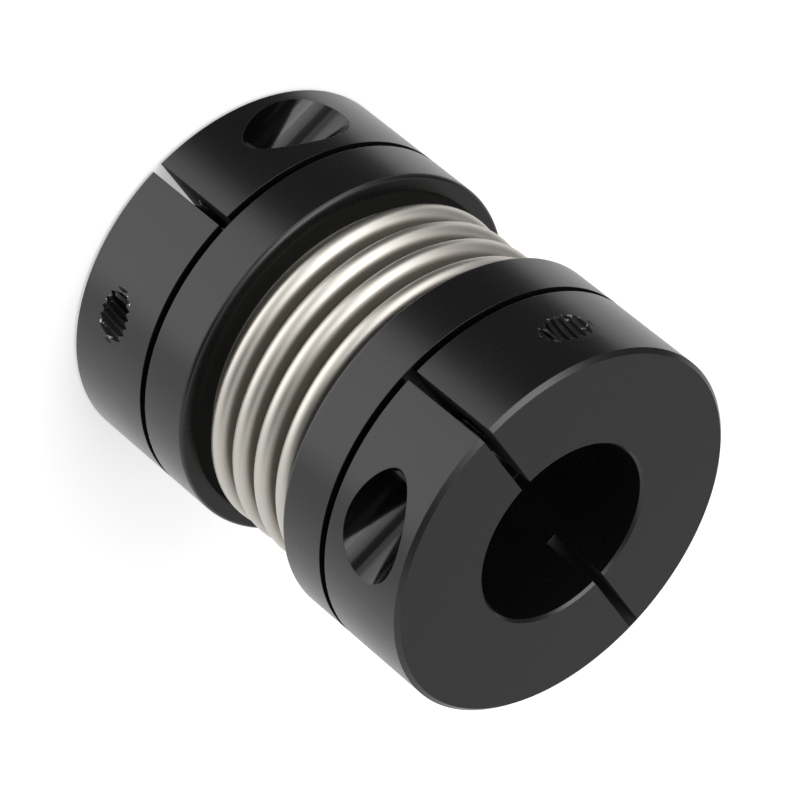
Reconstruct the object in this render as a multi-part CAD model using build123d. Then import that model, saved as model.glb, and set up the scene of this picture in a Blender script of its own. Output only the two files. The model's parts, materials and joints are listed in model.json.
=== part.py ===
from build123d import *
from math import sqrt
import os

# Flexible bellows coupling, clamp type, for two 20 mm shafts.  Millimetres, +Z along the shaft line,
# origin in the middle of the bottom end face.  The clamp slots of both hubs face -Y.

# ---- driving dimensions ----
HUB_DIAMETER = 41.3             # outside of both hubs
HUB_LENGTH = 17.8               # end face to inner face of one hub
HUB_GAP = 15.9                  # clear distance between the inner faces
BORE_DIAMETER = 20.0            # shaft bore, sliding fit on the shaft
EDGE_CHAMFER = 0.45             # outer and bore edges of the end face
INNER_EDGE_RADIUS = 0.5         # rounded outer edge beside the bellows

# clamp: an axial slot cuts the wall on the -Y side and a cross kerf frees the split ring
SLOT_WIDTH = 1.15
KERF_WIDTH = 0.85
KERF_FROM_END = 11.45           # end face to the middle of the kerf
KERF_WEB_Y = 6.0                # the kerf stops here and leaves a web on the +Y side
SAW_RADIUS = 40.0               # slitting saw that cuts the slot
SAW_RUNOUT_MARGIN = 0.45        # the saw leaves the end face this far inside the far outer edge

# clamp screw, socket head cap screw M4 x 16
SCREW_DIAMETER = 4.0
SCREW_LENGTH = 16.0             # under the head
SCREW_HEAD_DIAMETER = 7.0
SCREW_HEAD_HEIGHT = 4.0
SCREW_KEY = 3.0                 # across the flats of the hexagon socket
SCREW_KEY_DEPTH = 2.0
SCREW_TIP_CHAMFER = 0.5
SCREW_HEAD_ROUND = 0.4
SCREW_FROM_SIDE = 5.2           # outside of the hub to screw line
SCREW_FROM_END = 5.45           # end face to screw line
SEAT_FROM_SLOT = 3.4            # wall left between the slot and the seat of the head
HEAD_POCKET_CLEARANCE = 0.3     # radial, round the head
SHANK_CLEARANCE = 0.2           # radial, in the plain half of the screw hole
THREAD_CLEARANCE = 0.05         # radial, in the tapped half

# bellows: one thin steel tube with rolled convolutions and a plain cuff at each end
CONVOLUTIONS = 4
PITCH = 3.42
CREST_FROM_SIDE = 1.8           # outside of the hub to the crests
CONVOLUTION_DEPTH = 3.65        # crest to root, both on the outside of the wall
CREST_BEND_RADIUS = 1.0         # wide crest and tight root, on the middle of the wall
BELLOWS_WALL = 0.2
CUFF_FROM_CREST = 1.95          # crest to cuff, both on the outside of the wall
CUFF_BEND_RADIUS = 0.6          # cuff to flank, on the middle of the wall
CUFF_INSERTION = 2.0            # length of cuff held in a hub
ADHESIVE_GAP = 0.1              # radial, cuff to socket
SOCKET_END_GAP = 0.3            # cuff edge to the bottom of the socket
RELIEF_CLEARANCE = 0.05         # radial, crest to the shallow recess in the inner face
RELIEF_DEPTH = 0.3

# ---- derived ----
TOTAL_LENGTH = 2 * HUB_LENGTH + HUB_GAP
MIDDLE_Z = TOTAL_LENGTH / 2
HUB_RADIUS = HUB_DIAMETER / 2
BORE_RADIUS = BORE_DIAMETER / 2
SCREW_FROM_AXIS = HUB_RADIUS - SCREW_FROM_SIDE
SEAT_X = SLOT_WIDTH / 2 + SEAT_FROM_SLOT
CREST_RADIUS = HUB_RADIUS - CREST_FROM_SIDE
ROOT_RADIUS = CREST_RADIUS - CONVOLUTION_DEPTH
CUFF_RADIUS = CREST_RADIUS - CUFF_FROM_CREST
RELIEF_RADIUS = CREST_RADIUS + RELIEF_CLEARANCE
SOCKET_RADIUS = CUFF_RADIUS + ADHESIVE_GAP
SOCKET_DEPTH = CUFF_INSERTION + SOCKET_END_GAP


def revolve_section(points):
    """Revolve a closed (radius, z) outline round the shaft line."""
    outline = make_face(Plane.XZ * Polyline(*points, close=True))
    return revolve(outline, Axis.Z)


def hub_blank():
    """Turned blank: end face at z = 0, the bellows above it."""
    top = HUB_LENGTH
    relief_z = top - RELIEF_DEPTH
    socket_z = relief_z - SOCKET_DEPTH
    blank = revolve_section([
        (BORE_RADIUS + EDGE_CHAMFER, 0),
        (HUB_RADIUS - EDGE_CHAMFER, 0),
        (HUB_RADIUS, EDGE_CHAMFER),
        (HUB_RADIUS, top),
        (RELIEF_RADIUS, top),
        (RELIEF_RADIUS, relief_z),
        (SOCKET_RADIUS, relief_z),
        (SOCKET_RADIUS, socket_z),
        (BORE_RADIUS, socket_z),
        (BORE_RADIUS, EDGE_CHAMFER),
    ])
    rim = blank.edges().filter_by(GeomType.CIRCLE).group_by(Axis.Z)[-1].sort_by(SortBy.RADIUS)[-1]
    return fillet(rim, INNER_EDGE_RADIUS)


def slot_cut():
    """Slot and saw run-out: flat floor in the kerf, then the arc that the saw leaves in the far wall."""
    depth = KERF_FROM_END
    exit_y = HUB_RADIUS - SAW_RUNOUT_MARGIN
    arc_reach = sqrt(SAW_RADIUS ** 2 - (SAW_RADIUS - depth) ** 2)
    arc_start_y = exit_y - arc_reach
    centre = (arc_start_y, depth - SAW_RADIUS)
    outside_y = -HUB_RADIUS - SLOT_WIDTH
    below_z = -SLOT_WIDTH
    disc = Pos(*centre) * Circle(SAW_RADIUS)
    window = Pos(arc_start_y, below_z) * Rectangle(arc_reach, depth - below_z, align=(Align.MIN, Align.MIN))
    reach = arc_start_y - outside_y
    flat = Pos(outside_y, below_z) * Rectangle(reach, depth - below_z, align=(Align.MIN, Align.MIN))
    profile = Plane.YZ * (flat + (disc & window))
    return extrude(profile, SLOT_WIDTH / 2, both=True)


def kerf_cut():
    """Cross kerf, open on the -Y side and stopped at the web."""
    reach = HUB_DIAMETER
    return Pos(0, KERF_WEB_Y, KERF_FROM_END) * Box(
        2 * reach, reach, KERF_WIDTH, align=(Align.CENTER, Align.MAX, Align.CENTER))


def along_screw(radius, start_x, end_x):
    """Cylinder on the screw line of a hub between two x positions."""
    line = Plane(origin=(start_x, -SCREW_FROM_AXIS, SCREW_FROM_END), z_dir=(1, 0, 0))
    return line * Cylinder(radius, end_x - start_x, align=(Align.CENTER, Align.CENTER, Align.MIN))


def make_hub():
    """Clamp hub with its end face at z = 0 and its screw head on the -X side."""
    head_pocket = along_screw(SCREW_HEAD_DIAMETER / 2 + HEAD_POCKET_CLEARANCE, -HUB_RADIUS, -SEAT_X)
    plain_hole = along_screw(SCREW_DIAMETER / 2 + SHANK_CLEARANCE, -SEAT_X, 0)
    tapped_hole = along_screw(SCREW_DIAMETER / 2 + THREAD_CLEARANCE, 0, HUB_RADIUS)
    return hub_blank() - slot_cut() - kerf_cut() - head_pocket - plain_hole - tapped_hole


def make_screw():
    """Clamp screw in place in the hub of make_hub: head on the -X side, seated on its pocket floor."""
    shank = along_screw(SCREW_DIAMETER / 2, -SEAT_X, SCREW_LENGTH - SEAT_X)
    shank = chamfer(shank.edges().group_by(Axis.X)[-1], SCREW_TIP_CHAMFER)
    head = along_screw(SCREW_HEAD_DIAMETER / 2, -SEAT_X - SCREW_HEAD_HEIGHT, -SEAT_X)
    head = fillet(head.edges().group_by(Axis.X)[0], SCREW_HEAD_ROUND)
    face = Plane(origin=(-SEAT_X - SCREW_HEAD_HEIGHT, -SCREW_FROM_AXIS, SCREW_FROM_END), z_dir=(1, 0, 0))
    hexagon = RegularPolygon(SCREW_KEY / 2, 6, major_radius=False)
    return head + shank - extrude(face * hexagon, SCREW_KEY_DEPTH)


def bellows_middle_line():
    """Middle of the wall from the lower cuff edge to the upper one, in the (radius, z) plane."""
    bend = CREST_BEND_RADIUS
    root_bend = PITCH / 2 - bend
    half_wall = BELLOWS_WALL / 2
    crest = CREST_RADIUS - half_wall - bend
    root = ROOT_RADIUS - half_wall + root_bend
    cuff = CUFF_RADIUS - half_wall
    first_crest_z = -PITCH * (CONVOLUTIONS - 1) / 2
    cuff_end_z = -(HUB_GAP / 2 + RELIEF_DEPTH + CUFF_INSERTION)
    flank_z = first_crest_z - bend
    corner_r = cuff + CUFF_BEND_RADIUS
    corner_z = flank_z - CUFF_BEND_RADIUS
    pieces = [Line((cuff, cuff_end_z), (cuff, corner_z))]
    pieces.append(RadiusArc((cuff, corner_z), (corner_r, flank_z), CUFF_BEND_RADIUS))
    pieces.append(Line((corner_r, flank_z), (crest, flank_z)))
    for index in range(CONVOLUTIONS):
        z = first_crest_z + index * PITCH
        pieces.append(ThreePointArc((crest, z - bend), (crest + bend, z), (crest, z + bend)))
        if index < CONVOLUTIONS - 1:
            valley = z + PITCH / 2
            next_flank = z + PITCH - bend
            pieces.append(Line((crest, z + bend), (root, z + bend)))
            pieces.append(ThreePointArc((root, z + bend), (root - root_bend, valley), (root, next_flank)))
            pieces.append(Line((root, next_flank), (crest, next_flank)))
    pieces.append(Line((crest, -flank_z), (corner_r, -flank_z)))
    pieces.append(RadiusArc((corner_r, -flank_z), (cuff, -corner_z), CUFF_BEND_RADIUS))
    pieces.append(Line((cuff, -corner_z), (cuff, -cuff_end_z)))
    return pieces


def make_bellows():
    """Thin wall of even thickness, revolved round the shaft line."""
    wire = Wire(bellows_middle_line())
    section = trace(wire, BELLOWS_WALL)
    return Pos(0, 0, MIDDLE_Z) * revolve(Plane.XZ * section, Axis.Z)


def turned_over(piece):
    """The same piece on the upper end: turned half a turn about the cross axis through the slots."""
    about_middle = Pos(0, 0, MIDDLE_Z) * Rot(0, 180, 0) * Pos(0, 0, -MIDDLE_Z)
    return about_middle * piece


hub = make_hub()
screw = make_screw()
parts = {
    "lower_hub": hub,
    "upper_hub": turned_over(hub),
    "lower_clamp_screw": screw,
    "upper_clamp_screw": turned_over(screw),
    "bellows": make_bellows(),
}
os.makedirs("parts", exist_ok=True)
for name, shape in parts.items():
    export_step(shape, os.path.join("parts", name + ".step"))
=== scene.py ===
import json
import math

import bmesh
import bpy
from mathutils import Matrix, Vector


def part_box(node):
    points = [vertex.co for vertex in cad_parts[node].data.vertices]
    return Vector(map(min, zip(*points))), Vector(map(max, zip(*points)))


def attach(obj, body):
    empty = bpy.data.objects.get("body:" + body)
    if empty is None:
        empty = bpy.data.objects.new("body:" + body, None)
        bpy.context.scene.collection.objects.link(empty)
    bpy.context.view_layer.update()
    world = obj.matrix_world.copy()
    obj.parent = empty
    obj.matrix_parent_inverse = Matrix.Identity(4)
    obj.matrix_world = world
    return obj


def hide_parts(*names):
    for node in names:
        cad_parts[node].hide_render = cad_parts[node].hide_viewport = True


bl_info = {
    "name": "Bellows Coupling",
    "version": (1, 0, 0),
    "blender": (4, 5, 0),
    "location": "View3D > Sidebar > Coupling",
    "description": "Builds a clamp-type bellows coupling on its CAD frame, with its finishes and studio",
    "category": "Object",
}

MM = 0.001
WELD = 0.001 * MM
FULL_TURN = 2 * math.pi
SENSOR_WIDTH = 36.0     # millimetres, as the focal length is

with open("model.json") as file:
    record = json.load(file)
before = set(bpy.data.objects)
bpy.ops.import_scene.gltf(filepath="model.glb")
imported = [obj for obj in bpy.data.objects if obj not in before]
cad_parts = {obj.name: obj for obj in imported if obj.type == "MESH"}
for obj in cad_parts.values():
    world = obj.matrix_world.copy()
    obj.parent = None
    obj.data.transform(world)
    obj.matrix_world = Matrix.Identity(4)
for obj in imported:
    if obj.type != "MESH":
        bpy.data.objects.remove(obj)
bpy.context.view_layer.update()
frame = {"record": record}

HUB_LOW, HUB_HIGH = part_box("lower_hub")
SCREW_LOW, SCREW_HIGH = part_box("lower_clamp_screw")
BELLOWS_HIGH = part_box("bellows")[1]
HUB_RADIUS = HUB_HIGH.x
HUB_LENGTH = HUB_HIGH.z
MIDDLE = Vector((0, 0, (HUB_LOW.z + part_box("upper_hub")[1].z) / 2))
BORE = next(mount for mount in frame["record"]["mounts"] if mount["name"] == "lower_bore")
BORE_RADIUS = BORE["dims"]["r_mm"] * MM
HEAD_RADIUS = (SCREW_HIGH.z - SCREW_LOW.z) / 2
SCREW_LINE = Vector((0, SCREW_HIGH.y - HEAD_RADIUS, SCREW_HIGH.z - HEAD_RADIUS))
CREST_RADIUS = BELLOWS_HIGH.x
BELLOWS_REACH = BELLOWS_HIGH.z - MIDDLE.z


def length(name, millimetres, description):
    return bpy.props.FloatProperty(name=name, description=description, default=millimetres * MM,
                                   min=0, precision=5, unit="LENGTH", subtype="DISTANCE")


def colour(name, rgb, description):
    return bpy.props.FloatVectorProperty(name=name, description=description, default=rgb, size=3,
                                         min=0, max=1, subtype="COLOR")


def turn(name, degrees, description):
    return bpy.props.FloatProperty(name=name, description=description, default=math.radians(degrees),
                                   unit="ROTATION", subtype="ANGLE")


def share(name, value, description):
    return bpy.props.FloatProperty(name=name, description=description, default=value, min=0)


def count(name, value, description):
    return bpy.props.IntProperty(name=name, description=description, default=value, min=1)


class CouplingHubSizes(bpy.types.PropertyGroup):
    facets: count("Facets", 288, "Flat strips round the turned surfaces")
    edge_chamfer: length("Edge chamfer", 0.45, "Outer edge of the end face")
    bore_chamfer: length("Bore chamfer", 0.28, "Bore edge of the end face")
    inner_edge_radius: length("Inner edge radius", 0.5, "Rounded outer edge beside the bellows")
    slot_width: length("Slot width", 1.15, "Axial clamp slot")
    kerf_width: length("Kerf width", 0.85, "Cross kerf that frees the split ring")
    kerf_from_end: length("Kerf from end", 11.45, "End face to the middle of the kerf")
    kerf_web: length("Kerf web", 6.0, "The kerf stops this far behind the shaft line")
    saw_radius: length("Saw radius", 40.0, "Slitting saw that cuts the slot")
    saw_margin: length("Saw run-out margin", 0.45, "Outer edge to the saw's exit in the end face")
    pocket_clearance: length("Pocket clearance", 0.3, "Radial room round the screw head")
    shank_clearance: length("Shank clearance", 0.2, "Radial room in the plain half of the screw hole")
    relief_clearance: length("Relief clearance", 0.05, "Crest of the bellows to the recess edge")
    relief_depth: length("Relief depth", 0.3, "Recess round the bellows in the inner face")
    socket_depth: length("Socket depth", 2.3, "Groove that holds the cuff, below the recess")


class CouplingScrewSizes(bpy.types.PropertyGroup):
    facets: count("Facets", 64, "Flat strips round the thread")
    diameter: length("Diameter", 4.0, "Outside of the thread")
    pitch: length("Pitch", 0.7, "Advance of the thread in one turn")
    thread_depth: length("Thread depth", 0.42, "Crest to root of the thread")
    tapped_depth: length("Tapped depth", 0.36, "Crest to root of the thread in the hub")
    thread_play: length("Thread play", 0.05, "Radial room between the two threads")
    tip_chamfer: length("Tip chamfer", 0.5, "Chamfer of the screw's end")
    head_height: length("Head height", 4.0, "Seat to the top of the head")
    head_round: length("Head round", 0.4, "Rounded top edge of the head")
    key: length("Key", 3.0, "Hexagon socket across its flats")
    key_depth: length("Key depth", 2.0, "Depth of the hexagon socket")
    knurls: count("Knurls", 48, "Ridges round the head")
    knurl_depth: length("Knurl depth", 0.09, "Depth of the grooves between the ridges")


class CouplingBellowsSizes(bpy.types.PropertyGroup):
    facets: count("Facets", 240, "Flat strips round the tube")
    convolutions: count("Convolutions", 4, "Crests of the bellows")
    pitch: length("Pitch", 3.42, "Crest to crest")
    depth: length("Depth", 3.65, "Crest to root, on the outside")
    crest_bend: length("Crest bend", 1.0, "Bend radius of the crests, on the middle of the wall")
    wall: length("Wall", 0.2, "Thickness of the tube")
    cuff_step: length("Cuff step", 1.95, "Crest to cuff, on the outside")
    cuff_bend: length("Cuff bend", 0.6, "Bend radius between the cuff and its flank")
    bead_width: length("Bead width", 1.9, "Adhesive on the recess floor beside the cuff")
    bead_height: length("Bead height", 0.7, "Adhesive up the side of the cuff")
    bead_lip: length("Bead lip", 0.1, "Rounded upper edge of the adhesive")


class CouplingFinishes(bpy.types.PropertyGroup):
    anodised: colour("Anodised black", (0.0045, 0.0045, 0.0046), "Black anodised aluminium of the hubs")
    # Paler colour of the sharp edges: partly wear of the thin coat, partly painted sheen.
    edge_wear_and_sheen: colour("Bare edge", (0.02, 0.02, 0.0198), "Thin coat on the sharp edges of the hubs")
    bright_fleck: colour("Bright fleck", (0.62, 0.62, 0.61), "Bare metal where the tap broke the coat")
    steel: colour("Stainless steel", (0.60, 0.575, 0.53), "Rolled tube of the bellows")
    # Darker steel: random handled patches, and painted shade deep in the grooves of the bellows.
    dark_steel_and_painted_shade: colour("Steel shade", (0.36, 0.34, 0.30), "Handled and heat-tinted steel")
    oxide: colour("Black oxide", (0.022, 0.022, 0.024), "Blackened steel of the clamp screws")
    adhesive: colour("Adhesive", (0.007, 0.007, 0.006), "Cured black adhesive at the cuffs")


class CouplingStageSettings(bpy.types.PropertyGroup):
    azimuth: turn("Camera azimuth", -83.02, "Camera round the shaft line, from +X")
    elevation: turn("Camera elevation", 35.59, "Camera above the floor's plane")
    roll: turn("Camera roll", 129.38, "Turn of the camera about its own line of sight")
    distance: length("Camera distance", 545.8, "Camera to the middle of the coupling")
    lens: share("Focal length", 247.6, "Millimetres, on a sensor 36 mm wide")
    aim_y: length("Aim back", 0.34, "Line of sight behind the middle")
    aim_z: length("Aim up", 0.47, "Line of sight above the middle")
    floor_colour: colour("Floor", (0.9, 0.9, 0.9), "Paper floor")
    floor_radius: length("Floor radius", 3000.0, "Reach of the paper floor")
    floor_lift: share("Floor lift", 0.42, "Glow that the camera sees on the paper beside its lit colour")
    ambient: share("Ambient", 0.72, "Even light from all round")
    panel: share("Panel", 2.5, "Brightness of the large lit panel in reflections")
    side_panel: share("Side panel", 2.1, "Brightness of the low side panel in reflections")
    dark_gap: share("Dark gap", 0.1, "Brightness of the unlit side of the studio in reflections")
    shaded_side: share("Shaded side", 0.25, "Brightness of the studio beyond the panel in reflections")
    camera_side: share("Camera side", 0.12, "Brightness of the space beside the camera in reflections")
    paper_far: share("Far paper", 0.55, "Brightness of the shaded paper in reflections")
    lamp_power: share("Lamp power", 1.4, "Watts of the soft lamp above")
    lamp_width: length("Lamp width", 500.0, "Diameter of the soft lamp")
    lamp_aside: length("Lamp aside", 250.0, "Soft lamp to the shaft line, towards -X and towards -Y")
    lamp_height: length("Lamp height", 650.0, "Soft lamp above the paper floor")


# ---- drawing in edit mode ----

def deselect():
    bpy.ops.object.select_all(action="DESELECT")


def choose(*objects):
    """Only these objects are selected, and the first is active."""
    deselect()
    for obj in objects:
        obj.select_set(True)
    bpy.context.view_layer.objects.active = objects[0]


def editing(on):
    bpy.ops.object.mode_set(mode="EDIT" if on else "OBJECT")


def start_outline(name, point):
    """A new mesh of one selected point, in edit mode."""
    deselect()
    bpy.ops.mesh.primitive_plane_add(size=MM, location=(0, 0, 0))
    obj = bpy.context.object
    obj.name = obj.data.name = name
    editing(True)
    bpy.ops.mesh.select_mode(type="VERT")
    bpy.ops.mesh.select_all(action="SELECT")
    bpy.ops.mesh.merge(type="CENTER")
    bpy.ops.transform.translate(value=point)
    return obj


def line_by(step):
    bpy.ops.mesh.extrude_vertices_move(TRANSFORM_OT_translate={"value": step})


def lines_through(points):
    """Straight lines from the selected point, which is the first, through the others."""
    for here, there in zip(points, points[1:]):
        line_by(Vector(there) - Vector(here))


def arc_round(centre, axis, angle, steps):
    """The selected point draws an arc. The operator counts its angle the other way round the axis."""
    bpy.ops.mesh.spin(steps=steps, angle=-angle, center=centre, axis=axis)


def close_outline():
    bpy.ops.mesh.select_all(action="SELECT")
    bpy.ops.mesh.remove_doubles(threshold=WELD)


def revolve_outline(facets):
    """The outline goes once round the shaft line and its seam is welded."""
    bpy.ops.mesh.select_all(action="SELECT")
    bpy.ops.mesh.spin(steps=facets, angle=FULL_TURN, center=(0, 0, 0), axis=(0, 0, 1))
    close_outline()
    bpy.ops.mesh.normals_make_consistent(inside=False)
    editing(False)


def apply_place(obj):
    choose(obj)
    bpy.ops.object.transform_apply(location=True, rotation=True, scale=True)
    return obj


def combine(obj, tool, operation="DIFFERENCE"):
    """Boolean of two closed meshes, after which the tool is gone."""
    choose(obj)
    bpy.ops.object.modifier_add(type="BOOLEAN")
    modifier = obj.modifiers[-1]
    modifier.operation = operation
    modifier.solver = "EXACT"
    modifier.object = tool
    bpy.ops.object.modifier_apply(modifier=modifier.name)
    choose(tool)
    bpy.ops.object.delete()
    return obj


def smooth(obj, degrees):
    """Smooth shading up to that angle, with broad faces leading, so that no small one bends the light."""
    choose(obj)
    bpy.ops.object.shade_smooth_by_angle(angle=math.radians(degrees))
    bpy.ops.object.modifier_add(type="WEIGHTED_NORMAL")
    weighted = obj.modifiers[-1]
    weighted.keep_sharp = True
    bpy.ops.object.modifier_apply(modifier=weighted.name)
    return obj


def turned_over(obj, name):
    """A copy with its own mesh on the other end of the coupling, half a turn about the cross axis."""
    choose(obj)
    bpy.ops.object.duplicate(linked=False)
    copy = bpy.context.object
    copy.name = copy.data.name = name
    bpy.ops.transform.rotate(value=math.pi, orient_axis="Y", center_override=MIDDLE)
    return apply_place(copy)


def cylinder_on_screw_line(radius, start_x, end_x, facets):
    deselect()
    middle_x = (start_x + end_x) / 2
    bpy.ops.mesh.primitive_cylinder_add(
        vertices=facets, radius=radius, depth=end_x - start_x,
        location=(middle_x, SCREW_LINE.y, SCREW_LINE.z), rotation=(0, math.pi / 2, 0))
    return apply_place(bpy.context.object)


def thread_on_screw_line(crest, depth, start_x, end_x, screw):
    """A closed threaded rod. Every rod has its first turn at x = 0, so screw and hole share one helix."""
    pitch = screw.pitch
    first_turn = math.floor(start_x / pitch) - 1
    turns = math.ceil(end_x / pitch) + 1 - first_turn
    root = crest - depth
    flat = pitch / 8
    slope = (pitch - 3 * flat) / 2
    x = first_turn * pitch
    outline = [(x, 0, root), (x + 2 * flat, 0, root), (x + 2 * flat + slope, 0, crest),
               (x + 3 * flat + slope, 0, crest), (x + pitch, 0, root)]
    rod = start_outline("threaded_rod", outline[0])
    lines_through(outline)
    editing(False)
    bpy.ops.object.modifier_add(type="SCREW")
    modifier = rod.modifiers[-1]
    modifier.axis = "X"
    modifier.screw_offset = pitch
    modifier.iterations = turns
    modifier.steps = modifier.render_steps = screw.facets
    modifier.use_merge_vertices = False
    bpy.ops.object.modifier_apply(modifier=modifier.name)
    editing(True)
    close_outline()
    bpy.ops.mesh.select_all(action="SELECT")
    bpy.ops.mesh.bisect(plane_co=(start_x, 0, 0), plane_no=(1, 0, 0), use_fill=True, clear_inner=True,
                        threshold=WELD)
    bpy.ops.mesh.select_all(action="SELECT")
    bpy.ops.mesh.bisect(plane_co=(end_x, 0, 0), plane_no=(1, 0, 0), use_fill=True, clear_outer=True,
                        threshold=WELD)
    bpy.ops.mesh.select_all(action="SELECT")
    bpy.ops.mesh.normals_make_consistent(inside=False)
    editing(False)
    rod.location = SCREW_LINE
    return apply_place(rod)


# ---- finishes ----

class Socket:
    """One output of a node tree. Python arithmetic on it adds the Math nodes."""

    def __init__(self, tree, output):
        self.tree = tree
        self.output = output

    def _math(self, operation, *values):
        return self.tree.node("Math", {"operation": operation}, values)

    def __add__(self, other):
        return self._math("ADD", self, other)

    def __sub__(self, other):
        return self._math("SUBTRACT", self, other)

    def __rsub__(self, other):
        return self._math("SUBTRACT", other, self)

    def __mul__(self, other):
        return self._math("MULTIPLY", self, other)

    def __pow__(self, other):
        return self._math("POWER", self, other)

    def __abs__(self):
        return self._math("ABSOLUTE", self)

    def __lt__(self, other):
        return self._math("LESS_THAN", self, other)

    def __gt__(self, other):
        return self._math("GREATER_THAN", self, other)

    def fade(self, low, high, rising=True, **settings):
        """0 at low and 1 at high, or 1 at low and 0 at high, level beyond them."""
        ends = (0.0, 1.0) if rising else (1.0, 0.0)
        return self.tree.node("MapRange", {"clamp": True, **settings}, {
            "Value": self, "From Min": low, "From Max": high, "To Min": ends[0], "To Max": ends[1]})

    __radd__ = __add__


class Tree:
    """The node tree of a material or a world, emptied."""

    def __init__(self, owner):
        owner.use_nodes = True
        self.nodes = owner.node_tree.nodes
        self.links = owner.node_tree.links
        self.nodes.clear()

    def node(self, kind, settings=None, inputs=None, output=0):
        """Adds a node, its settings first, then the values or links of its inputs, and gives one output."""
        made = self.nodes.new("ShaderNode" + kind)
        for name, value in (settings or {}).items():
            if name == "stops":
                self._set_stops(made.color_ramp, value)
            else:
                setattr(made, name, value)
        named = inputs.items() if isinstance(inputs, dict) else enumerate(inputs or [])
        for key, value in named:
            if isinstance(value, Socket):
                self.links.new(value.output, made.inputs[key])
            elif value is not None:
                made.inputs[key].default_value = value
        return Socket(self, made.outputs[output]) if made.outputs else None

    @staticmethod
    def _set_stops(ramp, stops):
        while len(ramp.elements) < len(stops):
            ramp.elements.new(0.5)
        for element, (place, grey) in zip(ramp.elements, stops):
            element.position = place
            element.color = (grey, grey, grey, 1)

    def mix(self, factor, first, second):
        """Colours mixed by a factor; a plain colour is given as a sequence."""
        ends = [value if isinstance(value, Socket) else (*value, 1) for value in (first, second)]
        return self.node("Mix", {"data_type": "RGBA"}, {0: factor, 6: ends[0], 7: ends[1]}, 2)

    def noise(self, vector, scale, detail=3.0, roughness=0.5):
        return self.node("TexNoise", None, {"Vector": vector, "Scale": scale, "Detail": detail,
                                            "Roughness": roughness})

    def ramp(self, value, *stops):
        return self.node("ValToRGB", {"stops": stops}, [value])

    def object_place(self):
        return self.node("TexCoord", None, None, "Object")

    def along_axes(self, vector):
        return [self.node("SeparateXYZ", None, [vector], axis) for axis in "XYZ"]

    def dot(self, first, second):
        return self.node("VectorMath", {"operation": "DOT_PRODUCT"}, [first, second], "Value")

    def bump(self, strength, distance, height, normal=None):
        return self.node("Bump", None, {"Strength": strength, "Distance": distance, "Height": height,
                                        "Normal": normal})

    def turned_place(self):
        """((radius, 0, height), radius, height): the same all round, as lathe marks are."""
        x, y, height = self.along_axes(self.object_place())
        radius = (x ** 2 + y ** 2) ** 0.5
        return self.node("CombineXYZ", None, [radius, 0.0, height]), radius, height


def new_finish(name):
    material = bpy.data.materials.new(name)
    return material, Tree(material)


def finish_surface(tree, **sockets):
    names = {key: key.replace("_", " ") for key in sockets}
    shader = tree.node("BsdfPrincipled", None, {names[key]: value for key, value in sockets.items()})
    tree.node("OutputMaterial", None, [shader])


def sharp_edges(tree, radius):
    """(normal rounded over sharp edges, 0..1 mask of those edges)."""
    rounded = tree.node("Bevel", {"samples": 6}, {"Radius": radius})
    normal = tree.node("NewGeometry", None, None, "Normal")
    return rounded, tree.ramp(1 - tree.dot(rounded, normal), (0.01, 0), (0.12, 1))


def machined_faces(tree, place):
    """0..1 masks of the reamed screw pockets, the sawn slots, the tapped holes and flecks on their rims."""
    sizes = bpy.context.scene.coupling_hub
    screw = bpy.context.scene.coupling_screw
    x, y, z = tree.along_axes(place)
    radius = (x ** 2 + y ** 2) ** 0.5
    from_middle = abs(z - MIDDLE.z)
    from_screw_line = ((y - SCREW_LINE.y) ** 2 + (from_middle - (MIDDLE.z - SCREW_LINE.z)) ** 2) ** 0.5
    under_skin = radius < HUB_RADIUS - 0.02 * MM
    pocket_radius = HEAD_RADIUS + sizes.pocket_clearance
    pocket = abs(from_screw_line - pocket_radius).fade(0.02 * MM, 0.05 * MM, rising=False)
    in_slot = abs(x) < sizes.slot_width / 2 + 0.01 * MM
    in_clamp = from_middle > MIDDLE.z - sizes.kerf_from_end
    in_wall = radius > BORE_RADIUS + 0.02 * MM
    in_thread = from_screw_line < screw.diameter / 2 + 0.07 * MM
    near_rim = radius.fade(HUB_RADIUS - 1.1 * MM, HUB_RADIUS - 0.5 * MM)
    flecks = in_thread * near_rim * tree.ramp(tree.noise(place, 1500, detail=2), (0.64, 0), (0.69, 1))
    return pocket * under_skin, in_slot * in_clamp * in_wall, in_thread * under_skin, flecks


def anodised_finish(finishes):
    """Black anodised aluminium: lathe marks, a matt grain, and paler sharp edges, partly worn coat and
    partly painted sheen.
    """
    material, tree = new_finish("black_anodised_aluminium")
    place = tree.object_place()
    lathe = tree.noise(tree.turned_place()[0], 9000, detail=2)
    grain = tree.noise(place, 5200, detail=4, roughness=0.6)
    cloud = tree.noise(place, 90, detail=3)
    pocket, sawn, threaded, flecks = machined_faces(tree, place)
    rounded, edge = sharp_edges(tree, 0.07 * MM)
    # Painted sheen and wear: random patches along the sharp edges take the paler edge colour.
    worn_and_sheen = edge * tree.ramp(tree.noise(place, 700), (0.38, 0.25), (0.66, 1))
    base = tree.mix(cloud, [c * 0.85 for c in finishes.anodised], [c * 1.2 for c in finishes.anodised])
    marks = lathe * 0.6 + grain * 0.4
    coat = tree.mix(worn_and_sheen, base, finishes.edge_wear_and_sheen)
    finish_surface(
        tree, Base_Color=tree.mix(flecks, coat, finishes.bright_fleck), Metallic=flecks,
        Roughness=0.20 + marks * 0.10 + cloud * 0.05 + sawn * 0.65 + threaded * 0.6 - pocket * 0.15,
        Specular_IOR_Level=0.5,
        Normal=tree.bump(0.09, 0.02 * MM, marks, rounded))
    return material


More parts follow.
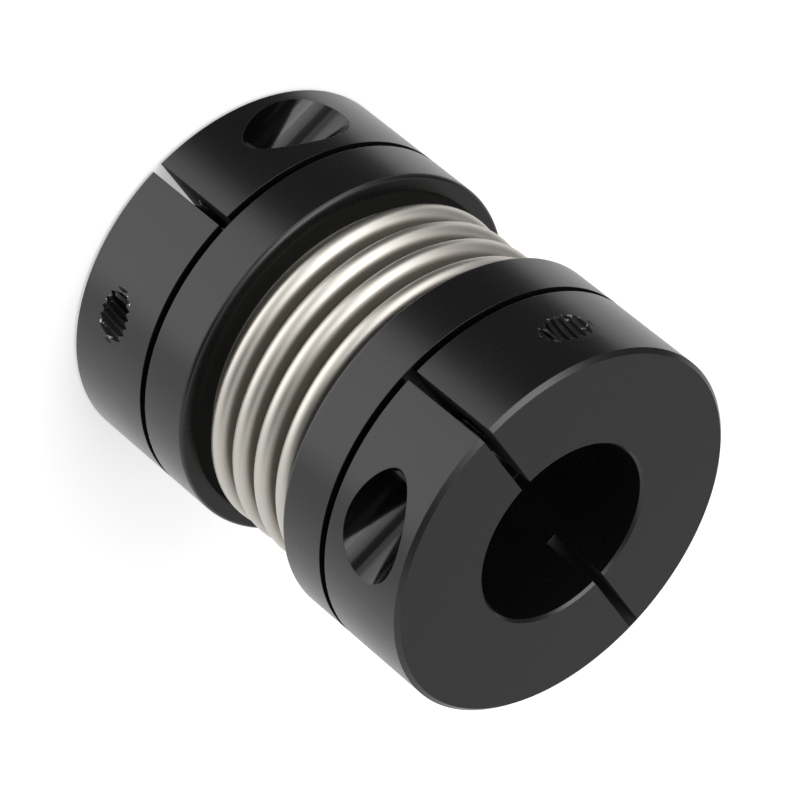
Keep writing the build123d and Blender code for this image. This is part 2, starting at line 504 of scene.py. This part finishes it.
def steel_finish(finishes):
    """Rolled stainless tube: fine lines round it, a slightly warm colour, and painted shade that darkens it
    towards the roots, where it is also rougher.
    """
    material, tree = new_finish("rolled_stainless_steel")
    sizes = bpy.context.scene.coupling_bellows
    turned, radius, height = tree.turned_place()
    place = tree.object_place()
    lines = tree.noise(turned, 7000, detail=2)
    patches = tree.noise(place, 240, detail=4, roughness=0.6)
    # film goes from 0 at the crests to 1 deep towards the roots. The colour paints shade there, and the
    # roughness rises there.
    film = radius.fade(CREST_RADIUS - 2.2 * MM, CREST_RADIUS, rising=False)
    cuff_start = sizes.pitch * (sizes.convolutions - 1) / 2 + sizes.crest_bend
    cuff = abs(height - MIDDLE.z).fade(cuff_start - 0.1 * MM, cuff_start + 0.3 * MM)
    # Painted shade: the steel darkens towards the roots, with random handled patches mixed in.
    patches_and_painted_shade = tree.mix(film * 0.85 + patches * 0.15, finishes.steel, finishes.dark_steel_and_painted_shade)
    finish_surface(
        tree, Base_Color=patches_and_painted_shade, Metallic=1.0,
        Roughness=0.31 + lines * 0.09 + patches * 0.08 + film * (1 - cuff) * 0.35,
        Normal=tree.bump(0.10, 0.01 * MM, lines * 0.7 + patches * 0.3))
    return material


def oxide_finish(finishes):
    """Blackened screw steel with an oily film and rubbed ridges."""
    material, tree = new_finish("black_oxide_steel")
    place = tree.object_place()
    film = tree.noise(place, 900, detail=4, roughness=0.6)
    rounded, edge = sharp_edges(tree, 0.05 * MM)
    base = tree.mix(film, [c * 0.6 for c in finishes.oxide], [c * 1.4 for c in finishes.oxide])
    finish_surface(
        tree, Base_Color=tree.mix(edge * 0.6, base, finishes.edge_wear_and_sheen), Metallic=1.0,
        Roughness=0.26 + film * 0.16,
        Normal=tree.bump(0.12, 0.01 * MM, film, rounded))
    return material


def adhesive_finish(finishes):
    """Cured black adhesive, matt and slightly cloudy, wiped thin over the steel at its upper lip."""
    material, tree = new_finish("cured_adhesive")
    sizes = bpy.context.scene.coupling_bellows
    place = tree.object_place()
    cloud = tree.noise(place, 800, detail=3)
    from_middle = abs(tree.along_axes(place)[2] - MIDDLE.z)
    lip_top = MIDDLE.z - HUB_LENGTH + bpy.context.scene.coupling_hub.relief_depth - sizes.bead_height
    lip = from_middle.fade(lip_top, lip_top + sizes.bead_lip, rising=False)
    dark = tree.mix(cloud, [c * 0.7 for c in finishes.adhesive], finishes.adhesive)
    finish_surface(
        tree, Base_Color=tree.mix(lip, dark, finishes.dark_steel_and_painted_shade), Metallic=lip * 0.9,
        Roughness=0.72 + cloud * 0.14 - lip * 0.45, Specular_IOR_Level=0.2,
        Normal=tree.bump(0.2, 0.03 * MM, cloud))
    return material


def paper_finish(stage):
    """Paper floor: full white to the camera where it is lit, and it keeps the shadow."""
    material, tree = new_finish("floor_paper")
    fibre = tree.noise(tree.object_place(), 300, detail=4)
    rgb = tree.mix(fibre, [c * 0.985 for c in stage.floor_colour], stage.floor_colour)
    paper = tree.node("BsdfDiffuse", None, [rgb])
    seen = tree.node("LightPath", None, None, "Is Camera Ray")
    lift = tree.node("Emission", None, {"Color": (1, 1, 1, 1), "Strength": seen * stage.floor_lift})
    tree.node("OutputMaterial", None, [tree.node("AddShader", None, [paper, lift])])
    return material


def shared_finish(maker, settings):
    """The finish of that maker, made once."""
    key = maker.__name__
    found = [m for m in bpy.data.materials if m.get("finish_of") == key]
    if found:
        return found[0]
    material = maker(settings)
    material["finish_of"] = key
    return material


def put_in_place(obj, node, material):
    """The piece gets its finish, rides on the coupling and hides the CAD node that it replaces, if there is
    one.
    """
    obj.data.materials.clear()
    obj.data.materials.append(material)
    if node:
        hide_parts(node)
    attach(obj, "root")


# ---- pieces ----

class COUPLING_OT_hubs(bpy.types.Operator):
    """Turned hubs with their slot, kerf, screw pocket and tapped hole"""
    bl_idname = "coupling.make_hubs"
    bl_label = "Make Hubs"

    def execute(self, context):
        sizes = context.scene.coupling_hub
        screw = context.scene.coupling_screw
        hub = self.blank(sizes, context.scene.coupling_bellows)
        combine(hub, self.slot_tool(sizes))
        combine(hub, self.kerf_tool(sizes))
        pocket = HEAD_RADIUS + sizes.pocket_clearance
        seat_x = SCREW_LOW.x + screw.head_height
        reach = 1.2 * HUB_RADIUS
        combine(hub, cylinder_on_screw_line(pocket, -reach, seat_x, facets=128))
        plain = screw.diameter / 2 + sizes.shank_clearance
        combine(hub, cylinder_on_screw_line(plain, seat_x - pocket, 0, facets=96))
        crest = screw.diameter / 2 + screw.thread_play
        combine(hub, thread_on_screw_line(crest, screw.tapped_depth, -sizes.slot_width / 3, reach, screw))
        hub.name = hub.data.name = "lower_hub_turned"
        smooth(hub, 20)
        upper = turned_over(hub, "upper_hub_turned")
        finish = shared_finish(anodised_finish, context.scene.coupling_finishes)
        put_in_place(hub, "lower_hub", finish)
        put_in_place(upper, "upper_hub", finish)
        return {"FINISHED"}

    @staticmethod
    def blank(sizes, bellows):
        """Blank with its end face on the floor, turned round the shaft line."""
        top = HUB_LENGTH
        relief_z = top - sizes.relief_depth
        socket_z = relief_z - sizes.socket_depth
        relief = CREST_RADIUS + sizes.relief_clearance
        socket = CREST_RADIUS - bellows.cuff_step + sizes.relief_clearance
        edge = sizes.edge_chamfer
        rounding = sizes.inner_edge_radius
        mouth = sizes.bore_chamfer
        outline = [(BORE_RADIUS, socket_z), (BORE_RADIUS, mouth), (BORE_RADIUS + mouth, 0),
                   (HUB_RADIUS - edge, 0), (HUB_RADIUS, edge), (HUB_RADIUS, top - rounding)]
        inner_face = [(HUB_RADIUS - rounding, top), (relief, top), (relief, relief_z),
                      (socket, relief_z), (socket, socket_z), (BORE_RADIUS, socket_z)]
        blank = start_outline("hub_blank", (outline[0][0], 0, outline[0][1]))
        lines_through([(r, 0, z) for r, z in outline])
        arc_round((HUB_RADIUS - rounding, 0, top - rounding), (0, 1, 0), -math.pi / 2, steps=8)
        lines_through([(r, 0, z) for r, z in inner_face])
        close_outline()
        revolve_outline(sizes.facets)
        return blank

    @staticmethod
    def slot_tool(sizes):
        """The saw's path: straight through the clamp side, then the arc of its run-out."""
        half = sizes.slot_width / 2
        depth = sizes.kerf_from_end
        saw = sizes.saw_radius
        exit_y = HUB_RADIUS - sizes.saw_margin
        arc_start = exit_y - math.sqrt(saw ** 2 - (saw - depth) ** 2)
        outside = -1.2 * HUB_RADIUS
        below = -sizes.slot_width
        swept = math.acos((saw - depth + below) / saw)
        tool = start_outline("slot_tool", (-half, outside, below))
        lines_through([(-half, outside, below), (-half, outside, depth), (-half, arc_start, depth)])
        arc_round((-half, arc_start, depth - saw), (1, 0, 0), -swept, steps=40)
        bpy.ops.mesh.select_all(action="SELECT")
        bpy.ops.mesh.edge_face_add()
        bpy.ops.mesh.extrude_region_move(TRANSFORM_OT_translate={"value": (2 * half, 0, 0)})
        bpy.ops.mesh.select_all(action="SELECT")
        bpy.ops.mesh.normals_make_consistent(inside=False)
        editing(False)
        return tool

    @staticmethod
    def kerf_tool(sizes):
        reach = 1.2 * HUB_RADIUS
        deselect()
        bpy.ops.mesh.primitive_cube_add(
            size=1, location=(0, (sizes.kerf_web - reach) / 2, sizes.kerf_from_end),
            scale=(2 * reach, sizes.kerf_web + reach, sizes.kerf_width))
        return apply_place(bpy.context.object)


class COUPLING_OT_clamp_screws(bpy.types.Operator):
    """Socket head cap screws with a rolled thread, a knurled head and a hexagon socket"""
    bl_idname = "coupling.make_clamp_screws"
    bl_label = "Make Clamp Screws"

    def execute(self, context):
        sizes = context.scene.coupling_screw
        seat_x = SCREW_LOW.x + sizes.head_height
        screw = self.head(sizes, seat_x)
        combine(screw, self.shank(sizes, seat_x), "UNION")
        screw.name = screw.data.name = "lower_cap_screw"
        smooth(screw, 32)
        upper = turned_over(screw, "upper_cap_screw")
        finish = shared_finish(oxide_finish, context.scene.coupling_finishes)
        put_in_place(screw, "lower_clamp_screw", finish)
        put_in_place(upper, "upper_clamp_screw", finish)
        return {"FINISHED"}

    @staticmethod
    def head(sizes, seat_x):
        head = cylinder_on_screw_line(HEAD_RADIUS, SCREW_LOW.x, seat_x, facets=2 * sizes.knurls)
        head.name = "screw_head"
        editing(True)
        bpy.ops.mesh.select_mode(type="EDGE")
        bpy.ops.mesh.select_all(action="DESELECT")
        mesh = bmesh.from_edit_mesh(head.data)
        for edge in mesh.edges:
            edge.select_set(all(v.co.x < SCREW_LOW.x + 0.01 * MM for v in edge.verts))
        bmesh.update_edit_mesh(head.data)
        bpy.ops.mesh.bevel(offset=sizes.head_round, segments=5, affect="EDGES")
        bpy.ops.mesh.select_mode(type="VERT")
        bpy.ops.mesh.select_all(action="DESELECT")
        mesh = bmesh.from_edit_mesh(head.data)
        step = math.pi / sizes.knurls
        for vert in mesh.verts:
            spoke = vert.co - SCREW_LINE
            rim = math.hypot(spoke.y, spoke.z) > HEAD_RADIUS - 0.02 * MM
            place = round(math.atan2(spoke.y, spoke.z) / step)
            vert.select_set(rim and place % 2 == 1)
        bmesh.update_edit_mesh(head.data)
        narrow = 1 - sizes.knurl_depth / HEAD_RADIUS
        bpy.ops.transform.resize(value=(1, narrow, narrow), center_override=SCREW_LINE)
        editing(False)
        socket = cylinder_on_screw_line(sizes.key / math.sqrt(3), SCREW_LOW.x - sizes.key,
                                        SCREW_LOW.x + sizes.key_depth, facets=6)
        return combine(head, socket)

    @staticmethod
    def shank(sizes, seat_x):
        """Threaded rod cut to the chamfered envelope of the screw's end."""
        radius = sizes.diameter / 2
        start_x = seat_x - sizes.tip_chamfer
        rod = thread_on_screw_line(radius, sizes.thread_depth, start_x, SCREW_HIGH.x, sizes)
        envelope = cylinder_on_screw_line(radius + sizes.thread_play, start_x - sizes.pitch,
                                          SCREW_HIGH.x, sizes.facets)
        editing(True)
        bpy.ops.mesh.select_mode(type="EDGE")
        bpy.ops.mesh.select_all(action="DESELECT")
        mesh = bmesh.from_edit_mesh(envelope.data)
        for edge in mesh.edges:
            edge.select_set(all(v.co.x > SCREW_HIGH.x - 0.01 * MM for v in edge.verts))
        bmesh.update_edit_mesh(envelope.data)
        bpy.ops.mesh.bevel(offset=sizes.tip_chamfer, segments=1, affect="EDGES")
        editing(False)
        return combine(rod, envelope, "INTERSECT")


class COUPLING_OT_bellows(bpy.types.Operator):
    """Thin steel tube with rolled convolutions, and the adhesive at its cuffs"""
    bl_idname = "coupling.make_bellows"
    bl_label = "Make Bellows"

    def execute(self, context):
        sizes = context.scene.coupling_bellows
        finishes = context.scene.coupling_finishes
        tube = self.tube(sizes)
        put_in_place(tube, "bellows", shared_finish(steel_finish, finishes))
        bead = self.bead(sizes, context.scene.coupling_hub)
        upper = turned_over(bead, "upper_adhesive_bead")
        for piece in (bead, upper):
            put_in_place(piece, None, shared_finish(adhesive_finish, finishes))
        return {"FINISHED"}

    @staticmethod
    def tube(sizes):
        """Middle of the wall drawn from the lower cuff to the upper one, revolved, then given its wall."""
        bend = sizes.crest_bend
        root_bend = sizes.pitch / 2 - bend
        crest = CREST_RADIUS - sizes.wall / 2 - bend
        root = CREST_RADIUS - sizes.depth - sizes.wall / 2 + root_bend
        cuff = CREST_RADIUS - sizes.cuff_step - sizes.wall / 2
        first_crest = MIDDLE.z - sizes.pitch * (sizes.convolutions - 1) / 2
        corner = cuff + sizes.cuff_bend
        flank = first_crest - bend
        tube = start_outline("bellows_tube", (cuff, 0, MIDDLE.z - BELLOWS_REACH))
        lines_through([(cuff, 0, MIDDLE.z - BELLOWS_REACH), (cuff, 0, flank - sizes.cuff_bend)])
        arc_round((corner, 0, flank - sizes.cuff_bend), (0, 1, 0), math.pi / 2, steps=6)
        lines_through([(corner, 0, flank), (crest, 0, flank)])
        for index in range(sizes.convolutions):
            z = first_crest + index * sizes.pitch
            arc_round((crest, 0, z), (0, 1, 0), -math.pi, steps=18)
            if index < sizes.convolutions - 1:
                next_flank = z + sizes.pitch - bend
                lines_through([(crest, 0, z + bend), (root, 0, z + bend)])
                arc_round((root, 0, z + sizes.pitch / 2), (0, 1, 0), math.pi, steps=14)
                lines_through([(root, 0, next_flank), (crest, 0, next_flank)])
        top = 2 * MIDDLE.z - flank
        lines_through([(crest, 0, top), (corner, 0, top)])
        arc_round((corner, 0, top + sizes.cuff_bend), (0, 1, 0), math.pi / 2, steps=6)
        lines_through([(cuff, 0, top + sizes.cuff_bend), (cuff, 0, MIDDLE.z + BELLOWS_REACH)])
        revolve_outline(sizes.facets)
        bpy.ops.object.modifier_add(type="SOLIDIFY")
        wall = tube.modifiers[-1]
        wall.thickness = sizes.wall
        wall.offset = 0
        bpy.ops.object.modifier_apply(modifier=wall.name)
        return smooth(tube, 50)

    @staticmethod
    def bead(sizes, hub):
        """Fillet of adhesive between the cuff and the recess floor of the lower hub."""
        cuff = CREST_RADIUS - sizes.cuff_step
        floor = HUB_LENGTH - hub.relief_depth
        width, height = sizes.bead_width, sizes.bead_height
        lip = sizes.bead_lip
        outline = [(cuff, floor), (cuff, floor + height - lip / 2), (cuff + 0.3 * lip, floor + height),
                   (cuff + 0.8 * lip, floor + height), (cuff + 1.4 * lip, floor + height - lip)]
        outline += [(cuff + width * share, floor + height * drop)
                    for share, drop in ((0.12, 0.66), (0.25, 0.4), (0.45, 0.2), (0.7, 0.08), (1, 0))]
        outline.append(outline[0])
        bead = start_outline("lower_adhesive_bead", (outline[0][0], 0, outline[0][1]))
        lines_through([(r, 0, z) for r, z in outline])
        close_outline()
        revolve_outline(sizes.facets)
        return smooth(bead, 70)


# ---- studio ----

def direction(azimuth, elevation):
    """Unit vector from degrees round the shaft line and above the floor's plane."""
    a, e = math.radians(azimuth), math.radians(elevation)
    return Vector((math.cos(a) * math.cos(e), math.sin(a) * math.cos(e), math.sin(e)))


class COUPLING_OT_studio(bpy.types.Operator):
    """Paper floor, white surroundings, one soft lamp and the camera"""
    bl_idname = "coupling.make_studio"
    bl_label = "Make Studio"

    def execute(self, context):
        stage = context.scene.coupling_stage
        self.floor(stage)
        self.surroundings(context.scene, stage)
        self.lamp(stage)
        self.camera(context.scene, stage)
        context.scene.view_settings.view_transform = "Standard"
        return {"FINISHED"}

    @staticmethod
    def floor(stage):
        deselect()
        bpy.ops.mesh.primitive_circle_add(vertices=96, radius=stage.floor_radius, fill_type="NGON",
                                          location=(0, 0, HUB_LOW.z))
        floor = bpy.context.object
        floor.name = "paper_floor"
        floor.data.materials.append(paper_finish(stage))
        floor.visible_glossy = False

    @staticmethod
    def surroundings(scene, stage):
        """White to the camera. Reflections see a bright panel, white paper and the unlit gaps between."""
        scene.world = scene.world or bpy.data.worlds.new("studio")
        tree = Tree(scene.world)
        ray = tree.node("TexCoord", None, None, "Generated")
        soft_edge = {"interpolation_type": "SMOOTHSTEP"}

        def patch(azimuth, elevation, inner, outer):
            """1 within the inner angle of that direction, 0 beyond the outer one."""
            along = tree.dot(ray, direction(azimuth, elevation))
            return along.fade(math.cos(math.radians(outer)), math.cos(math.radians(inner)), **soft_edge)

        def window(azimuth, elevation, half_width, half_height, soft):
            """1 within an upright rectangle round that direction, 0 outside its soft rim."""
            middle = direction(azimuth, elevation)
            across = Vector((0, 0, 1)).cross(middle).normalized()
            mask = tree.dot(ray, middle) > 0.0
            for axis, half in ((across, half_width), (middle.cross(across), half_height)):
                mask = mask * abs(tree.dot(ray, axis)).fade(
                    math.sin(math.radians(half + soft)), math.sin(math.radians(half - soft)), **soft_edge)
            return mask

        camera = math.degrees(stage.azimuth)
        patches = [
            (patch(camera - 108, 18, 20, 38), stage.shaded_side),
            (window(camera - 45, 29, 26, 33, 9), stage.panel),
            (patch(camera + 16, -48, 26, 38), stage.side_panel),
            (patch(camera + 46, 30, 18, 34), stage.camera_side),
            (patch(camera - 14, 10, 9, 17), stage.camera_side),
            (patch(camera - 73, -44, 26, 38), stage.dark_gap),
            (patch(camera + 180, 36, 30, 60), stage.paper_far),
        ]
        level = 1
        for mask, brightness in patches:
            level = mask * (brightness - 1) + level
        seen, mirrored, through = [tree.node("LightPath", None, None, name) for name in
                                   ("Is Camera Ray", "Is Glossy Ray", "Is Transmission Ray")]
        hidden = 1 - (seen + mirrored + through)
        strength = level * mirrored + seen + through + hidden * stage.ambient
        background = tree.node("Background", None, {"Color": (1, 1, 1, 1), "Strength": strength})
        tree.node("OutputWorld", None, [background])

    @staticmethod
    def lamp(stage):
        """One wide soft lamp above the coupling."""
        deselect()
        aside = stage.lamp_aside
        bpy.ops.object.light_add(type="AREA", location=(-aside, -aside, stage.lamp_height))
        lamp = bpy.context.object
        lamp.name = "soft_lamp"
        lamp.data.shape = "DISK"
        lamp.data.size = stage.lamp_width
        lamp.data.energy = stage.lamp_power
        lamp.rotation_euler = (lamp.location - MIDDLE).to_track_quat("Z", "Y").to_euler()

    @staticmethod
    def camera(scene, stage):
        aim = MIDDLE + Vector((0, stage.aim_y, stage.aim_z))
        back = direction(math.degrees(stage.azimuth), math.degrees(stage.elevation))
        deselect()
        bpy.ops.object.camera_add(location=aim + back * stage.distance)
        camera = bpy.context.object
        camera.data.lens = stage.lens
        camera.data.sensor_width = SENSOR_WIDTH
        camera.data.clip_start, camera.data.clip_end = 10 * MM, 20000 * MM
        facing = (-back).to_track_quat("-Z", "Y").to_matrix()
        camera.rotation_euler = (facing @ Matrix.Rotation(stage.roll, 3, "Z")).to_euler()
        scene.camera = camera


class COUPLING_PT_sidebar(bpy.types.Panel):
    """Sizes, finishes and build steps of the coupling"""
    bl_idname = "COUPLING_PT_sidebar"
    bl_label = "Bellows Coupling"
    bl_space_type = "VIEW_3D"
    bl_region_type = "UI"
    bl_category = "Coupling"

    def draw(self, context):
        for step in STEPS:
            self.layout.operator(step.bl_idname)
        for name in GROUPS:
            box = self.layout.box()
            group = getattr(context.scene, name)
            for key in group.__annotations__:
                box.prop(group, key)


GROUPS = {
    "coupling_hub": CouplingHubSizes,
    "coupling_screw": CouplingScrewSizes,
    "coupling_bellows": CouplingBellowsSizes,
    "coupling_finishes": CouplingFinishes,
    "coupling_stage": CouplingStageSettings,
}
STEPS = (COUPLING_OT_hubs, COUPLING_OT_clamp_screws, COUPLING_OT_bellows, COUPLING_OT_studio)


def register():
    for cls in (*GROUPS.values(), *STEPS, COUPLING_PT_sidebar):
        bpy.utils.register_class(cls)
    for name, cls in GROUPS.items():
        setattr(bpy.types.Scene, name, bpy.props.PointerProperty(type=cls))


def unregister():
    for name in GROUPS:
        delattr(bpy.types.Scene, name)
    for cls in (COUPLING_PT_sidebar, *reversed(STEPS), *reversed(GROUPS.values())):
        bpy.utils.unregister_class(cls)


def main():
    register()
    bpy.ops.coupling.make_hubs()
    bpy.ops.coupling.make_clamp_screws()
    bpy.ops.coupling.make_bellows()
    bpy.ops.coupling.make_studio()


if __name__ == "__main__":
    main()
